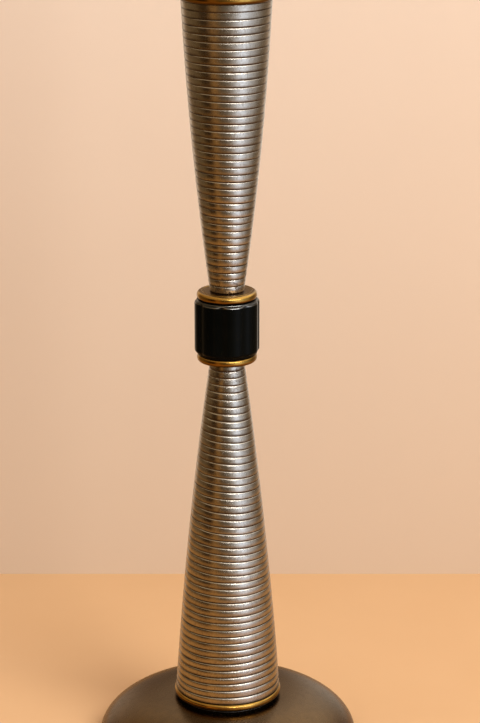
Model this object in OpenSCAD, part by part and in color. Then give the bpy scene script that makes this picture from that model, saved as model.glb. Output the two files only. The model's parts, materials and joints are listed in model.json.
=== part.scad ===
// Floor lamp with a domed base, a column of strip-wound cones and an uplight bowl.
// The origin is on the floor, under the centre of the base. +Z is up and -Y is the front.

/* [Base] */
// Diameter of the domed base
base_d = 300; // [250:1:360]
// Height of the flat top of the dome above the floor
base_h = 58; // [50:1:75]
// Wall of the base cover
base_wall = 3; // [2:0.5:4]
// Diameter of the flat centre of the dome
base_flat_d = 120; // [112:1:150]
// Thickness of the felt pad
pad_t = 2.5; // [2:0.5:4]
// Thickness of the closing plate
base_plate_t = 2; // [1.5:0.5:3]
// Height of the brass ring at the foot of the column
base_ring_h = 8; // [6:0.5:12]
// Height of the dark spacer under that ring
seat_h = 3; // [2:0.5:5]
// Thickness of the ballast outside its hub
ballast_t = 20; // [18:1:26]
// Diameter of the ballast's hub
hub_d = 116; // [90:1:120]

/* [Column] */
// Length of the lowest cone
cone1_len = 396; // [320:1:480]
// Length of each of the other cones that meet the middle ring
cone2_len = 324; // [260:1:400]
// Length of the top cone
cone4_len = 272; // [220:1:340]
// Large diameter of the lowest cone
cone1_wide_d = 120.6; // [104:0.2:130]
// Large diameter of the cones at the middle ring
cone2_wide_d = 99.2; // [84:0.2:120]
// Large diameter of the top cone
cone4_wide_d = 82; // [70:0.2:100]
// Diameter of every cone's small end
cone_narrow_d = 38.4; // [35:0.2:46]
// How far a cone's side bulges beyond a straight taper
cone_bulge = 3.6; // [2:0.1:5]
// Height of one turn of the metal strip
strip_pitch = 8.1; // [6.5:0.1:10]
// Thickness of the metal strip
strip_t = 2; // [1.8:0.1:3]
// Depth of the groove between two turns
groove_depth = 0.9; // [0.5:0.1:1.2]
// Width of the groove between two turns
groove_w = 1.3; // [0.8:0.1:2]
// Wall of the cone under the strip
core_wall = 1; // [1:0.1:2.5]
// Thickness of the centring plate in a cone's wide end
centring_t = 3; // [2:0.5:5]
// Height of the middle ring and the top ring
ring_h = 10; // [8:0.5:14]
// How far a brass ring stands out beyond the cone at it
ring_proud = 3.4; // [1:0.2:6]
// How far the ring at the foot stands out beyond the lowest cone
base_ring_proud = 1.6; // [1:0.2:4]

/* [Knops] */
// Largest diameter of a knop
knop_d = 73.8; // [64:0.2:84]
// Height of the lobed part of a knop
knop_h = 60; // [48:1:74]
// Height of the round lip below the lobes
lip_below_h = 2; // [1.5:0.5:6]
// Height of the round lip above the lobes
lip_above_h = 1; // [1:0.5:6]
// How far the lips are inside the largest diameter
lip_in = 2.8; // [1.6:0.2:4]
// Number of lobes round a knop
lobes = 8; // [6:1:12]
// Depth of the valley between two lobes
lobe_depth = 1.5; // [0.8:0.1:2.5]
// Diameter of the brass collars
collar_d = 67.6; // [58:0.2:76]
// Height of a brass collar
collar_h = 9; // [6:0.5:12]

/* [Stem] */
// Outside diameter of the threaded tubes
tube_d = 13; // [10:0.5:16]
// Bore of the threaded tubes
tube_bore_d = 9; // [7.5:0.5:9.5]
// Outside diameter of the couplers
coupler_d = 20; // [18:0.5:24]
// Length of a coupler
coupler_len = 36; // [28:1:44]
// Width across a nut's flats
nut_w = 22; // [20:1:26]
// Height of a nut
nut_h = 7; // [5:0.5:10]
// Diameter of the lead that is held inside the tubes
lead_d = 6; // [5:0.5:6.5]

/* [Bowl] */
// Diameter of the bowl at its rim
bowl_d = 380; // [320:1:460]
// How far round an ellipse the bowl's side curves, in degrees
bowl_sweep = 66; // [50:1:80]
// Height of the bowl
bowl_h = 120; // [116:1:150]
// Wall of the bowl
bowl_wall = 1.5; // [1.5:0.1:3]
// Diameter of the bowl's centre hole
bowl_hole_d = 72; // [64:1:88]
// Diameter of the bowl's flat seat
bowl_flat_d = 116; // [110:1:130]
// Thickness of the bead round the rim
rim_d = 6; // [5:0.5:9]
// Thickness of the reflector
reflector_t = 1; // [0.8:0.1:1.5]
// Height of the dish that carries the bowl
gallery_h = 25; // [20:1:36]
// Diameter of the bulb
bulb_d = 60; // [50:1:62]
// Length of the bulb with its cap
bulb_len = 105; // [95:1:112]

/* [Switch] */
// Outside diameter of the switch housing
housing_d = 44; // [40:1:56]
// Height of the switch housing
housing_h = 40; // [36:1:56]
// Diameter of the key's shaft
shaft_d = 6; // [4:0.5:8]
// Width of the key's wings
key_w = 22; // [18:1:28]

/* [Clearances] */
// Gap all round a tube in a plain hole
tube_gap = 0.25; // [0.1:0.05:0.6]
// Gap between two fixed pieces that fit inside one another
nest_gap = 0.3; // [0.2:0.05:0.8]
// Gap all round the key's shaft in its bearing
shaft_gap = 0.05; // [0.02:0.01:0.1]
// Gap between the bowl and what it rests on and is located by
bowl_gap = 0.4; // [0.3:0.1:1]

/* [Hidden] */

$fn = 96;
eps = 0.01;

// Colours
bronze = "#4a3a2c";
nickel = "#a19b92";
brass = "#a88640";
black = "#0c0d0c";
steel = "#8b8d90";
iron = "#3b3a39";

// Radii and bores that several pieces share
tube_hole_r = tube_d / 2 + tube_gap;
base_r = base_d / 2;
base_flat_r = base_flat_d / 2;
base_edge_z = 8;
base_rim_z = 1.5;
base_rim_in = 2.5;
rim_inner_r = base_r - base_rim_in - base_wall;
screw_at_r = base_r - 45;
screw_r = 2;
screw_grip = 9;

// Heights up the column
seat_z = base_h;
base_ring_z = seat_z + seat_h;
cone1_z = base_ring_z + base_ring_h;
knop_len = lip_below_h + knop_h + lip_above_h;
knop_stack = knop_len + 2 * collar_h;
stack1_z = cone1_z + cone1_len;
cone2_z = stack1_z + knop_stack;
mid_ring_z = cone2_z + cone2_len;
cone3_z = mid_ring_z + ring_h;
stack2_z = cone3_z + cone2_len;
cone4_z = stack2_z + knop_stack;
top_ring_z = cone4_z + cone4_len;
housing_z = top_ring_z + ring_h;
gallery_z = housing_z + housing_h;
seat_face_z = gallery_z + gallery_h;
washer_t = 1.5;
bowl_z = seat_face_z + washer_t + bowl_gap;

// Nut recess under the ballast, with the tube's end inside it
weight_z = base_plate_t + pad_t + 1.5;
recess_z = weight_z + 27;
recess_r = 21;
washer_r = 17;
foot_washer_t = 2.5;
foot_nut_z = recess_z - foot_washer_t - nut_h;
tube_foot_z = foot_nut_z - 2;

// Joints between the tubes are at the middle of each knop
joint1_z = stack1_z + knop_stack / 2;
joint2_z = stack2_z + knop_stack / 2;
housing_floor = 4;
gallery_floor_t = 6;
top_nut_z = gallery_z + gallery_floor_t;
tube_top_z = top_nut_z + nut_h + 2;

// Lead's run in the base
lead_z = weight_z + 5;
lead_bend_r = 8;
channel_w = lead_d + 3;
gland_y = base_r - 9;
gland_len = 12;
gland_hole_r = 3.6;
gland_r = 6;
gland_flange_r = 6.4;
gland_flange_t = 2.5;
gland_z = lead_z;
ballast_r = gland_y - gland_len - 2;

// Switch
key_z = housing_z + housing_h - 16;
bearing_y = -housing_d / 2;
housing_wall = 2.5;

// Socket and bulb
socket_z = tube_top_z + 1;
socket_r = 19;
socket_base_h = 14;
socket_sleeve_h = 38;
socket_wall = 1;
cap_r = 13.1;
cap_len = 26;
bulb_z = socket_z + socket_base_h + 2;

function lerp(a, b, t) = a + (b - a) * t;

// Radius of a cone's outside at a share t of the way from its narrow end to its wide end
function cone_r(wide_d, t) = lerp(cone_narrow_d, wide_d, t) / 2 + 4 * cone_bulge * t * (1 - t);

// Points of a cone's side from the narrow end, inset by a distance, in straight stretches
function side(wide_d, len, inset, steps) =
    [for (i = [0 : steps]) [cone_r(wide_d, i / steps) - inset, len * i / steps]];

// Points of the grooved side of a winding from the narrow end
function turns(wide_d, len, count) = [
    for (i = [0 : count - 1], k = [0 : 3])
        let (
            z = len * i / count + [0, groove_w / 2, len / count - groove_w / 2, len / count][k],
            inset = [groove_depth, 0, 0, groove_depth][k]
        )
        if (k < 3 || i == count - 1) [cone_r(wide_d, z / len) - inset, z]
];

function reversed(list) = [for (i = [len(list) - 1 : -1 : 0]) list[i]];

// Quarter ellipse from the top centre line outwards, used by the dome and the bowl
function quarter(r0, r1, z0, z1, steps) =
    [for (i = [0 : steps]) let (a = 90 * i / steps)
        [r0 + (r1 - r0) * sin(a), z1 + (z0 - z1) * cos(a)]];

// Parts that stand wide end down are turned over
module place_cone(z, len, wide_down) {
    translate([0, 0, wide_down ? z + len : z]) mirror([0, 0, wide_down ? 1 : 0]) children();
}

module core(wide_d, len) {
    outer = side(wide_d, len, strip_t + nest_gap, 12);
    inner = side(wide_d, len, strip_t + nest_gap + core_wall, 12);
    color(steel) rotate_extrude() polygon(concat(outer, reversed(inner)));
}

module winding(wide_d, len) {
    count = round(len / strip_pitch);
    inner = side(wide_d, len, strip_t, 12);
    color(nickel) rotate_extrude() polygon(concat(turns(wide_d, len, count), reversed(inner)));
}

// Disc that centres a cone's wide end on the tube
module centring_plate(wide_d) {
    r = wide_d / 2 - strip_t - core_wall - 3 * nest_gap;
    color(steel) difference() {
        cylinder(r = r, h = centring_t);
        translate([0, 0, -eps]) cylinder(r = tube_hole_r, h = centring_t + 2 * eps);
    }
}

// Disc with a rounded edge and a hole for the tube
module bead_disc(r, h, hole_r) {
    round_r = h / 2;
    color(brass) difference() {
        rotate_extrude() union() {
            square([r - round_r, h]);
            translate([r - round_r, round_r]) intersection() {
                circle(r = round_r, $fn = 48);
                translate([0, -round_r]) square([round_r, h]);
            }
        }
        translate([0, 0, -eps]) cylinder(r = hole_r, h = h + 2 * eps);
    }
}

// Radius of the lobed outline at an angle
function lobe_r(a) = knop_d / 2 - lobe_depth * pow(abs(sin(lobes * a / 2)), 6)
    - 0.35 * (1 - cos(lobes * a)) / 2;

module knop() {
    steps = lobes * 16;
    lobe_turn = 35.8 + 180 / lobes;
    corner = 3.5;
    lip_edge = 0.8;
    r = knop_d / 2;
    lip_r = r - lip_in;
    color(black) difference() {
        union() {
            intersection() {
                rotate([0, 0, lobe_turn]) linear_extrude(height = knop_len)
                    polygon([for (i = [0 : steps - 1]) let (a = 360 * i / steps)
                        [lobe_r(a) * cos(a), lobe_r(a) * sin(a)]]);
                translate([0, 0, lip_below_h]) rotate_extrude() polygon(concat(
                    [[0, 0], [r - corner, 0]],
                    [for (a = [-75 : 15 : 0]) [r - corner + corner * cos(a), corner + corner * sin(a)]],
                    [for (a = [0 : 15 : 75]) [r - corner + corner * cos(a),
                        knop_h - corner + corner * sin(a)]],
                    [[r - corner, knop_h], [0, knop_h]]
                ));
            }
            rotate_extrude() polygon([
                [0, 0], [lip_r - lip_edge, 0], [lip_r, lip_edge],
                [lip_r, knop_len - lip_edge], [lip_r - lip_edge, knop_len], [0, knop_len]
            ]);
        }
        translate([0, 0, -eps]) cylinder(r = tube_hole_r, h = knop_len + 2 * eps);
        translate([0, 0, (knop_len - coupler_len) / 2 - nest_gap])
            cylinder(r = coupler_d / 2 + nest_gap, h = coupler_len + 2 * nest_gap);
    }
}

module tube(z0, z1) {
    color(steel) translate([0, 0, z0]) difference() {
        cylinder(d = tube_d, h = z1 - z0);
        translate([0, 0, -eps]) cylinder(d = tube_bore_d, h = z1 - z0 + 2 * eps);
    }
}

// The coupler is screwed over the ends of both tubes
module coupler(z) {
    color(steel) translate([0, 0, z - coupler_len / 2]) difference() {
        cylinder(d = coupler_d, h = coupler_len);
        translate([0, 0, -eps]) cylinder(r = tube_d / 2, h = coupler_len + 2 * eps);
    }
}

module nut(z) {
    color(steel) translate([0, 0, z]) difference() {
        cylinder(d = nut_w / cos(30), h = nut_h, $fn = 6);
        translate([0, 0, -eps]) cylinder(r = tube_d / 2, h = nut_h + 2 * eps);
    }
}

// Outline of the dome's outer side, inset by a distance measured along the radius and down
function dome(inset) = quarter(base_flat_r, base_r - inset, base_h - inset, base_edge_z, 24);

// Copies a piece to the four screw positions under the base
module at_screws() {
    for (a = [45 : 90 : 315]) rotate([0, 0, a]) translate([screw_at_r, 0, 0]) children();
}

module base_pad() {
    color("#2b2622") cylinder(r = rim_inner_r - 4, h = pad_t);
}

module base_plate() {
    color(steel) difference() {
        translate([0, 0, pad_t]) cylinder(r = rim_inner_r - nest_gap, h = base_plate_t);
        at_screws() cylinder(r = screw_r + nest_gap, h = weight_z);
    }
}

module plate_screws() {
    color(steel) at_screws() translate([0, 0, pad_t]) cylinder(r = screw_r, h = base_plate_t + screw_grip);
}

module base_shell() {
    color(bronze) difference() {
        rotate_extrude() polygon(concat(
            [[0, base_h]], dome(0),
            [[base_r - base_rim_in, base_rim_z], [rim_inner_r, base_rim_z]],
            reversed(dome(base_wall)), [[0, base_h - base_wall]]
        ));
        translate([0, 0, base_h / 2]) cylinder(r = tube_hole_r, h = base_h);
        translate([0, gland_y - gland_len, gland_z]) rotate([-90, 0, 0])
            cylinder(r = gland_r, h = base_r);
    }
}

// Disc with a raised hub that reaches up under the cover, and a channel for the lead
module base_weight() {
    hub_top = base_h - base_wall - nest_gap;
    disc_top = weight_z + ballast_t;
    bevel = 4;
    color(iron) difference() {
        rotate_extrude() polygon([
            [0, weight_z], [ballast_r, weight_z], [ballast_r, disc_top - bevel],
            [ballast_r - bevel, disc_top], [hub_d / 2, disc_top], [hub_d / 2, hub_top - bevel],
            [hub_d / 2 - bevel, hub_top], [0, hub_top]
        ]);
        cylinder(r = tube_hole_r, h = base_h);
        cylinder(r = recess_r, h = recess_z);
        translate([-channel_w / 2, 0, 0]) cube([channel_w, base_r, lead_z + channel_w / 2]);
        at_screws() cylinder(r = screw_r + nest_gap, h = weight_z + screw_grip);
    }
}

module base_seat() {
    color(iron) translate([0, 0, seat_z]) difference() {
        cylinder(r = cone1_wide_d / 2 - 4, h = seat_h);
        translate([0, 0, -eps]) cylinder(r = tube_hole_r, h = seat_h + 2 * eps);
    }
}

module base_ring() {
    translate([0, 0, base_ring_z])
        bead_disc(cone1_wide_d / 2 + base_ring_proud, base_ring_h, tube_hole_r);
}

// Bush with a flange outside the cover, for the mains lead
module cord_gland() {
    inner_end = gland_y - gland_len;
    flange_y = base_r;
    color("#161616") translate([0, inner_end, gland_z]) rotate([-90, 0, 0]) difference() {
        union() {
            cylinder(r = gland_r - nest_gap, h = flange_y - inner_end);
            translate([0, 0, flange_y - inner_end]) cylinder(r = gland_flange_r, h = gland_flange_t);
        }
        translate([0, 0, -eps]) cylinder(r = gland_hole_r, h = base_r);
    }
}

module foot_washer() {
    color(steel) translate([0, 0, recess_z - foot_washer_t]) difference() {
        cylinder(r = washer_r, h = foot_washer_t);
        translate([0, 0, -eps]) cylinder(r = tube_hole_r, h = foot_washer_t + 2 * eps);
    }
}

module foot_nut() nut(foot_nut_z);

module lower_tube() tube(tube_foot_z, joint1_z - eps);

module middle_tube() tube(joint1_z + eps, joint2_z - eps);

// The top tube has a window where the wires leave for the switch
module upper_tube() {
    color(steel) difference() {
        tube(joint2_z + eps, tube_top_z);
        translate([0, 0, key_z]) rotate([90, 0, 0]) cylinder(r = lead_d / 2, h = tube_d);
    }
}

module lower_coupler() coupler(joint1_z);

module upper_coupler() coupler(joint2_z);

module cone1_core() place_cone(cone1_z, cone1_len, true) core(cone1_wide_d, cone1_len);

module cone1_winding() place_cone(cone1_z, cone1_len, true) winding(cone1_wide_d, cone1_len);

module cone1_plate() translate([0, 0, cone1_z]) centring_plate(cone1_wide_d);

module cone2_core() place_cone(cone2_z, cone2_len, false) core(cone2_wide_d, cone2_len);

module cone2_winding() place_cone(cone2_z, cone2_len, false) winding(cone2_wide_d, cone2_len);

module cone2_plate() translate([0, 0, mid_ring_z - centring_t]) centring_plate(cone2_wide_d);

module cone3_core() place_cone(cone3_z, cone2_len, true) core(cone2_wide_d, cone2_len);

module cone3_winding() place_cone(cone3_z, cone2_len, true) winding(cone2_wide_d, cone2_len);

module cone3_plate() translate([0, 0, cone3_z]) centring_plate(cone2_wide_d);

module cone4_core() place_cone(cone4_z, cone4_len, false) core(cone4_wide_d, cone4_len);

module cone4_winding() place_cone(cone4_z, cone4_len, false) winding(cone4_wide_d, cone4_len);

module cone4_plate() translate([0, 0, top_ring_z - centring_t]) centring_plate(cone4_wide_d);

module lower_knop() translate([0, 0, stack1_z + collar_h]) knop();

module upper_knop() translate([0, 0, stack2_z + collar_h]) knop();

module collar(z) translate([0, 0, z]) bead_disc(collar_d / 2, collar_h, tube_hole_r);

module lower_knop_collar_below() collar(stack1_z);

module lower_knop_collar_above() collar(cone2_z - collar_h);

module upper_knop_collar_below() collar(stack2_z);

module upper_knop_collar_above() collar(cone4_z - collar_h);

module mid_ring() {
    translate([0, 0, mid_ring_z]) bead_disc(cone2_wide_d / 2 + ring_proud, ring_h, tube_hole_r);
}

module top_ring() {
    translate([0, 0, top_ring_z]) bead_disc(cone4_wide_d / 2 + ring_proud, ring_h, tube_hole_r);
}

module switch_housing() {
    r = housing_d / 2;
    color(brass) difference() {
        translate([0, 0, housing_z]) cylinder(r = r, h = housing_h);
        translate([0, 0, housing_z + housing_floor])
            cylinder(r = r - housing_wall, h = housing_h - 2 * housing_floor);
        translate([0, 0, housing_z - eps]) cylinder(r = tube_hole_r, h = housing_h + 2 * eps);
        translate([0, 0, key_z]) rotate([90, 0, 0]) cylinder(r = shaft_d / 2 + shaft_gap, h = r + 1);
    }
}

// The rotary mechanism takes the inner end of the key's shaft
module switch_body() {
    width = 14;
    front_y = bearing_y + housing_wall + 1.5;
    depth = -tube_d / 2 - 0.5 - front_y;
    color("#1d1b19") difference() {
        translate([-width / 2, front_y, key_z - width / 2]) cube([width, depth, width]);
        translate([0, front_y + depth / 2, key_z]) rotate([90, 0, 0])
            cylinder(r = shaft_d / 2 + nest_gap, h = depth);
    }
}

module switch_shaft() {
    inside = 7;
    reach = 11;
    color(brass) translate([0, bearing_y + inside, key_z]) rotate([90, 0, 0])
        cylinder(d = shaft_d, h = inside + reach);
}

// Flat key with two rounded wings on a short hub
module switch_key() {
    hub_r = shaft_d / 2 + 2;
    hub_len = 11;
    wing_r = key_w / 4 + 1.5;
    wing_t = 4;
    gap = 1.5;
    color(brass) translate([0, bearing_y - gap, key_z]) rotate([90, 0, 0]) difference() {
        union() {
            cylinder(r = hub_r, h = hub_len);
            for (x = [-1, 1]) translate([x * (key_w / 2 - wing_r), 0, wing_r + 3]) rotate([90, 0, 0])
                translate([0, 0, -wing_t / 2]) cylinder(r = wing_r, h = wing_t);
        }
        translate([0, 0, -eps]) cylinder(d = shaft_d, h = hub_len - gap + eps);
    }
}

module top_nut() nut(top_nut_z);

// Turned dish: a stem below, a flat seat for the bowl and a spigot inside the bowl's hole
module gallery() {
    stem_r = housing_d / 2;
    seat_r = bowl_flat_d / 2 - 1;
    spigot_r = bowl_hole_d / 2 - bowl_gap;
    spigot_top = gallery_h + washer_t + 6;
    wall = 3;
    edge_t = 3;
    color(brass) translate([0, 0, gallery_z]) rotate_extrude() polygon(concat(
        [[tube_hole_r, 0], [stem_r, 0]],
        [for (a = [15 : 15 : 90])
            [seat_r - (seat_r - stem_r) * cos(a), (gallery_h - edge_t) * pow(a / 90, 2)]],
        [
            [seat_r, gallery_h], [spigot_r, gallery_h], [spigot_r, spigot_top],
            [spigot_r - wall, spigot_top], [socket_r + 2, gallery_floor_t],
            [tube_hole_r, gallery_floor_t]
        ]
    ));
}

module seat_washer() {
    color("#2b2622") translate([0, 0, seat_face_z]) difference() {
        cylinder(r = bowl_flat_d / 2 - 3, h = washer_t);
        translate([0, 0, -eps]) cylinder(r = bowl_hole_d / 2 - bowl_gap + nest_gap, h = washer_t + 2 * eps);
    }
}

// Curved side of the bowl from its flat seat to the rim, inset from the outside
function bowl_side(inset) = [
    for (i = [0 : 20]) let (a = bowl_sweep * i / 20)
        [bowl_flat_d / 2 + (bowl_d / 2 - inset - bowl_flat_d / 2) * sin(a) / sin(bowl_sweep),
            inset + (bowl_h - rim_d / 2 - inset) * (1 - cos(a)) / (1 - cos(bowl_sweep))]
];

module bowl_section(outside, inside, hole_r) {
    polygon(concat(
        [[hole_r, outside]], bowl_side(outside), reversed(bowl_side(inside)), [[hole_r, inside]]
    ));
}

module bowl() {
    color(bronze) translate([0, 0, bowl_z]) rotate_extrude()
        bowl_section(0, bowl_wall, bowl_hole_d / 2);
}

// Liner that ends just below the bead at the rim
module reflector() {
    inner = bowl_wall + nest_gap;
    color("#f2ede2") translate([0, 0, bowl_z]) rotate_extrude() intersection() {
        bowl_section(inner, inner + reflector_t, bowl_hole_d / 2 + 2);
        square([bowl_d / 2, bowl_h - rim_d - nest_gap]);
    }
}

// Bead with a slot in its underside for the edge of the bowl
module bowl_rim() {
    slot_gap = 0.1;
    color(brass) translate([0, 0, bowl_z]) rotate_extrude() difference() {
        translate([bowl_d / 2 - bowl_wall / 2, bowl_h - rim_d / 2]) circle(d = rim_d, $fn = 32);
        bowl_section(-slot_gap, bowl_wall + slot_gap, bowl_hole_d / 2);
    }
}

module socket_base() {
    color("#e8e2d4") translate([0, 0, socket_z]) difference() {
        cylinder(r = socket_r - socket_wall - nest_gap, h = socket_base_h);
        translate([0, 0, -eps]) cylinder(r = lead_d / 2 + nest_gap, h = socket_base_h - 4);
    }
}

module socket_sleeve() {
    color(brass) translate([0, 0, socket_z]) difference() {
        cylinder(r = socket_r, h = socket_sleeve_h);
        translate([0, 0, -eps]) cylinder(r = socket_r - socket_wall, h = socket_sleeve_h + 2 * eps);
    }
}

module socket_shell() {
    color(steel) translate([0, 0, socket_z + socket_base_h]) difference() {
        cylinder(r = cap_r + nest_gap + 1, h = socket_sleeve_h - socket_base_h - 3);
        translate([0, 0, -eps]) cylinder(r = cap_r + nest_gap, h = socket_sleeve_h);
    }
}

module socket_contact() {
    color(brass) translate([-4, -6, socket_z + socket_base_h]) cube([8, 12, 0.8]);
}

module bulb_tip() {
    color(steel) translate([0, 0, bulb_z - 1.1]) cylinder(r = 4, h = 1.1);
}

module bulb_cap() {
    color(nickel) translate([0, 0, bulb_z]) cylinder(r = cap_r, h = cap_len);
}

// Outline of the glass, inset by a distance: a neck that blends into a sphere
function bulb_side(inset) =
    let (r = bulb_d / 2, centre = bulb_len - r, neck_r = cap_r - 0.4, join = -25)
    concat(
        [[neck_r - inset, cap_len]],
        [for (i = [0 : 5]) let (t = i / 6)
            [lerp(neck_r, r * cos(join), t * t * (3 - 2 * t)) - inset,
                lerp(cap_len + 4, centre + r * sin(join), t)]],
        [for (i = [0 : 9]) let (a = lerp(join, 80, i / 9))
            [(r - inset) * cos(a), centre + (r - inset) * sin(a)]],
        [[0, bulb_len - inset]]
    );

module bulb_glass() {
    wall = 1;
    color("#f6f1e6") translate([0, 0, bulb_z]) rotate_extrude()
        polygon(concat(bulb_side(0), reversed(bulb_side(wall))));
}

// The lead runs from the gland along the ballast's channel, bends up and climbs the tubes
module inner_lead() {
    r = lead_d / 2;
    start_y = gland_y - gland_len - nest_gap;
    color("#201d1a") union() {
        translate([0, lead_bend_r, lead_z]) rotate([-90, 0, 0]) cylinder(r = r, h = start_y - lead_bend_r);
        translate([0, lead_bend_r, lead_z + lead_bend_r]) rotate([0, 90, 0]) rotate([0, 0, -90])
            rotate_extrude(angle = 90) translate([lead_bend_r, 0]) circle(r = r, $fn = 32);
        translate([0, 0, lead_z + lead_bend_r])
            cylinder(r = r, h = socket_z + 4 - lead_z - lead_bend_r);
    }
}

base_pad();
base_plate();
plate_screws();
base_shell();
base_weight();
base_seat();
base_ring();
cord_gland();
foot_washer();
foot_nut();
lower_tube();
middle_tube();
upper_tube();
lower_coupler();
upper_coupler();
cone1_core();
cone1_winding();
cone1_plate();
cone2_core();
cone2_winding();
cone2_plate();
cone3_core();
cone3_winding();
cone3_plate();
cone4_core();
cone4_winding();
cone4_plate();
lower_knop();
upper_knop();
lower_knop_collar_below();
lower_knop_collar_above();
upper_knop_collar_below();
upper_knop_collar_above();
mid_ring();
top_ring();
switch_housing();
switch_body();
switch_shaft();
switch_key();
top_nut();
gallery();
seat_washer();
bowl();
bowl_rim();
reflector();
socket_base();
socket_sleeve();
socket_shell();
socket_contact();
bulb_cap();
bulb_glass();
bulb_tip();
inner_lead();
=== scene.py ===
# %% [markdown]
# # A tall floor lamp with a column of strip-wound cones
# This lesson dresses a lamp whose measured parts already exist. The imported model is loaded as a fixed
# frame. Every part that shows is then modelled again in more detail at the same place, and every part,
# shown or hidden, gets a finish made of nodes. All sizes are in metres. The lamp stands on the floor at
# the origin, +Z is up and -Y is the front.

# %% Load the frame
import json
import math
import random

import bpy
import numpy as np
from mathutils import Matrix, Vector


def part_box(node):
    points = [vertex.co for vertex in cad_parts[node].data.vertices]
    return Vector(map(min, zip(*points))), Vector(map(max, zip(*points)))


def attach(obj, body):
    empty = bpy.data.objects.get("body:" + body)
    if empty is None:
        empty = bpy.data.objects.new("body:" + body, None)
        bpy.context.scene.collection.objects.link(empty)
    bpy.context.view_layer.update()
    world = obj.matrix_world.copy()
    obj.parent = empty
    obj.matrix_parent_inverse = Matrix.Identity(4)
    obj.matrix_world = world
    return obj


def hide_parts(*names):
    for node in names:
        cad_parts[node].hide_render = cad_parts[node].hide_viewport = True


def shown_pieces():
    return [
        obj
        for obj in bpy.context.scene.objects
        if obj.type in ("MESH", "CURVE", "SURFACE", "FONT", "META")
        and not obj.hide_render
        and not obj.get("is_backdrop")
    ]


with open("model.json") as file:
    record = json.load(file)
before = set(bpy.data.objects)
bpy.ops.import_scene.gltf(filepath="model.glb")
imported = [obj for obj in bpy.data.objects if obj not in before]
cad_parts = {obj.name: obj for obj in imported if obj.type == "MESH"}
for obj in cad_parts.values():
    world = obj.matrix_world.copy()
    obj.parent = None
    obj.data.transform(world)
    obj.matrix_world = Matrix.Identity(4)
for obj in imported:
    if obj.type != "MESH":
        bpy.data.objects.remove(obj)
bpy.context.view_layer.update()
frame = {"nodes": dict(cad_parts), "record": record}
chance = random.Random(7)
MM = 0.001
print("loaded", len(frame["nodes"]), "nodes")

# %% [markdown]
# ## The camera
# The lamp is seen from the front with a long lens, from a little above the knop, tipped down. The
# camera comes first, because each finish is judged through it. A long lens far away keeps the column's
# sides honest, where a short lens near the lamp would swell the middle.

# %% Put the camera in front
CAMERA_AT = (0.0145, -2.56, 1.236)
CAMERA_TILT = math.radians(73.2)
LENS_MM = 118.5
bpy.ops.object.camera_add(location=CAMERA_AT, rotation=(CAMERA_TILT, 0, 0))
camera = bpy.context.object
camera.data.lens = LENS_MM
camera.data.sensor_width = 36
camera.data.clip_end = 60
bpy.context.scene.camera = camera
print("camera at", tuple(round(v, 3) for v in camera.location))

# %% [markdown]
# ## Nodes for finishes
# A finish is a small tree of nodes. Wiring nodes one by one takes many lines, so these helpers add a
# node, set its inputs and join it up in one call. Patterns read Object coordinates: they are the same
# as the frame's metres, so a grain has its true size on every piece and never slides.

# %% Helpers that add nodes
def add(tree, kind, inputs=None, **settings):
    """Adds one shader node. An input is given a plain value or another node's output."""
    node = tree.nodes.new("ShaderNode" + kind)
    for name, value in settings.items():
        setattr(node, name, value)
    for name, value in (inputs or {}).items():
        if isinstance(value, bpy.types.NodeSocket):
            tree.links.new(value, node.inputs[name])
        else:
            node.inputs[name].default_value = value
    return node


def points(tree, stretch=(1, 1, 1)):
    """Object coordinates in metres, stretched along each axis."""
    place = add(tree, "TexCoord").outputs["Object"]
    return add(tree, "Mapping", {"Vector": place, "Scale": stretch}).outputs["Vector"]


def grain(tree, scale, detail=3.0, stretch=(1, 1, 1), rough=0.55):
    """Cloudy noise from 0 to 1. The scale is in features to the metre."""
    inputs = {"Vector": points(tree, stretch), "Scale": scale, "Detail": detail, "Roughness": rough}
    return add(tree, "TexNoise", inputs).outputs["Fac"]


def spread(tree, value, low, high, to_low=0.0, to_high=1.0):
    """Stretches the part of a value between low and high over a new range."""
    inputs = {"Value": value, "From Min": low, "From Max": high, "To Min": to_low, "To Max": to_high}
    return add(tree, "MapRange", inputs).outputs["Result"]


def colors(tree, share, first, second):
    """Mixes two colours by a share from 0 to 1."""
    node = add(tree, "Mix", data_type="RGBA")
    for slot, value in ((0, share), (6, first), (7, second)):
        if isinstance(value, bpy.types.NodeSocket):
            tree.links.new(value, node.inputs[slot])
        else:
            node.inputs[slot].default_value = (*value, 1) if slot else value
    return node.outputs[2]


def calculate(tree, how, first, second):
    """Does one sum with two values, such as ADD or MULTIPLY."""
    return add(tree, "Math", {0: first, 1: second}, operation=how).outputs[0]


def upward_share(tree):
    """How far a surface faces up, from -1 to 1, with the piece at rest. It turns with the piece."""
    facing = add(tree, "TexCoord").outputs["Normal"]
    return add(tree, "SeparateXYZ", {"Vector": facing}).outputs["Z"]


def finish(name, metallic=0.0, **shader_values):
    """A new finish, its node tree and its shader. The shader's constants are set here."""
    made = bpy.data.materials.new(name)
    made.use_nodes = True
    shader = made.node_tree.nodes["Principled BSDF"]
    shader.inputs["Metallic"].default_value = metallic
    for label, value in shader_values.items():
        shader.inputs[label.replace("_", " ")].default_value = value
    return made, made.node_tree, shader


def wire(tree, shader, color=None, roughness=None, height=None, depth=0.0001, strength=1.0):
    """Joins the ends of a finish to its shader. The height goes through a bump of a depth in metres."""
    if color is not None:
        tree.links.new(color, shader.inputs["Base Color"])
    if roughness is not None:
        tree.links.new(roughness, shader.inputs["Roughness"])
    if height is not None:
        bump = add(tree, "Bump", {"Height": height, "Distance": depth, "Strength": strength})
        tree.links.new(bump.outputs["Normal"], shader.inputs["Normal"])


print("helpers ready")

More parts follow.
